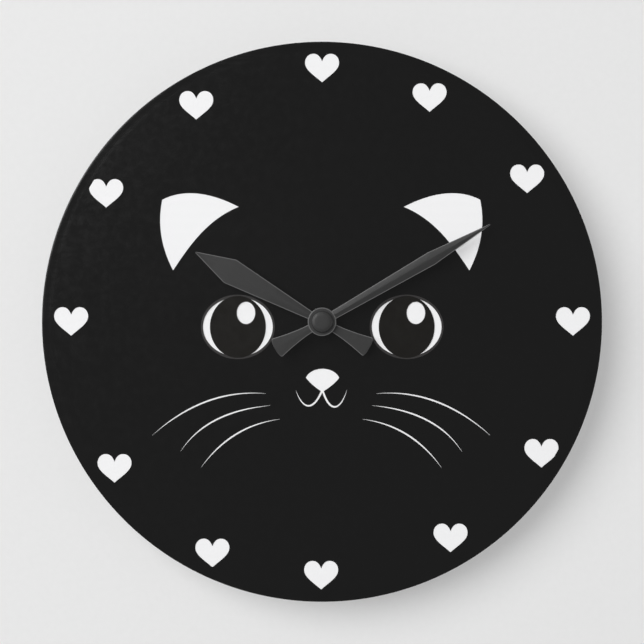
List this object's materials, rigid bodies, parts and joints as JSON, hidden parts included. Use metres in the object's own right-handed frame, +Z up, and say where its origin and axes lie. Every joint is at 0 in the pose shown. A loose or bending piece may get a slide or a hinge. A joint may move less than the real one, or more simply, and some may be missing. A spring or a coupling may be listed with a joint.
{
  "type": "wall clock",
  "caption": "Round battery wall clock, its flat black dial printed with a white cat's face and heart hour marks, with two spade hands and a quartz movement behind.",
  "frame": {"origin": "on the wall, at the back of the movement, on the axis that the hands turn about", "axes": "the dial faces -Y, +Y goes into the wall, +X is to the right of someone reading the clock, +Z is up"},
  "size_m": [0.273, 0.0323, 0.273],
  "materials": {
    "dial_acrylic": "black acrylic sheet, polished",
    "print_white": "white UV print, satin",
    "print_black": "black UV print, satin gloss",
    "print_grey": "dark grey UV print, satin gloss",
    "hand_metal": "dark grey satin lacquer on pressed aluminium",
    "case_plastic": "black moulded ABS, fine texture",
    "gear_plastic": "natural white acetal",
    "knob_plastic": "off-white moulded plastic",
    "brass": "turned, bright",
    "rubber": "black sheet rubber",
    "magnet": "sintered, dull",
    "sheet_steel": "bright punched sheet",
    "copper_wire": "enamelled copper wire",
    "board": "green laminate",
    "chip_resin": "black epoxy drop",
    "cell_metal": "bright plated can",
    "cell_label": "plain dark printed sleeve"
  },
  "bodies": {
    "frame": {"dial_disc": "dial_acrylic", "print_white": "print_white", "print_black": "print_black", "eye_print_left": "print_grey", "eye_print_right": "print_grey", "case_front": "case_plastic", "rear_cover": "case_plastic", "train_plate": "gear_plastic", "bushing": "brass", "dial_washer": "rubber", "nut_washer": "brass", "hex_nut": "brass", "stator": "sheet_steel", "coil_bobbin": "gear_plastic", "coil_winding": "copper_wire", "circuit_board": "board", "chip_blob": "chip_resin", "crystal_can": "sheet_steel", "positive_contact": "sheet_steel", "negative_contact": "sheet_steel"},
    "minute": {"minute_hand": "hand_metal", "hand_cap": "hand_metal", "minute_arbor": "gear_plastic", "clutch_spring": "brass"},
    "hour": {"hour_hand": "hand_metal", "hour_wheel": "gear_plastic"},
    "motion": {"motion_wheel": "gear_plastic"},
    "setting": {"setting_knob": "knob_plastic"},
    "rotor": {"rotor_pinion": "gear_plastic", "rotor_magnet": "magnet"},
    "fifth": {"fifth_wheel": "gear_plastic"},
    "second": {"second_wheel": "gear_plastic"},
    "third": {"third_wheel": "gear_plastic"},
    "centre": {"centre_wheel": "gear_plastic"},
    "cell": {"cell_can": "cell_metal", "cell_label": "cell_label"}
  },
  "joints": [
    {"name": "minute_spin", "type": "hinge", "parent": "frame", "child": "minute", "pos_m": [0, -0.0293, 0], "axis": [0, 1, 0], "continuous": true},
    {"name": "hour_spin", "type": "hinge", "parent": "frame", "child": "hour", "pos_m": [0, -0.0267, 0], "axis": [0, 1, 0], "continuous": true},
    {"name": "motion_spin", "type": "hinge", "parent": "frame", "child": "motion", "pos_m": [-0.0072, -0.013, 0], "axis": [0, 1, 0], "continuous": true},
    {"name": "setting_spin", "type": "hinge", "parent": "frame", "child": "setting", "pos_m": [-0.0144, -0.002, 0], "axis": [0, 1, 0], "continuous": true},
    {"name": "rotor_spin", "type": "hinge", "parent": "frame", "child": "rotor", "pos_m": [-0.01055, -0.008, 0.01042], "axis": [0, 1, 0], "continuous": true},
    {"name": "fifth_spin", "type": "hinge", "parent": "frame", "child": "fifth", "pos_m": [-0.00509, -0.0046, 0.00727], "axis": [0, 1, 0], "continuous": true},
    {"name": "second_spin", "type": "hinge", "parent": "frame", "child": "second", "pos_m": [0, -0.0064, 0], "axis": [0, 1, 0], "continuous": true},
    {"name": "third_spin", "type": "hinge", "parent": "frame", "child": "third", "pos_m": [0.00708, -0.0084, 0.00496], "axis": [0, 1, 0], "continuous": true},
    {"name": "centre_spin", "type": "hinge", "parent": "frame", "child": "centre", "pos_m": [0, -0.0108, 0], "axis": [0, 1, 0], "continuous": true},
    {"name": "cell_slide", "type": "slide", "parent": "frame", "child": "cell", "axis": [0, 1, 0], "range_m": [0, 0.02]}
  ],
  "couplings": [
    {"joint": "hour_spin", "follows": "minute_spin", "ratio": 0.083333},
    {"joint": "motion_spin", "follows": "minute_spin", "ratio": -0.33333},
    {"joint": "setting_spin", "follows": "minute_spin", "ratio": 1},
    {"joint": "fifth_spin", "follows": "rotor_spin", "ratio": -0.16667},
    {"joint": "second_spin", "follows": "rotor_spin", "ratio": 0.033333},
    {"joint": "third_spin", "follows": "rotor_spin", "ratio": -0.0044444},
    {"joint": "centre_spin", "follows": "rotor_spin", "ratio": 0.00055556}
  ]
}
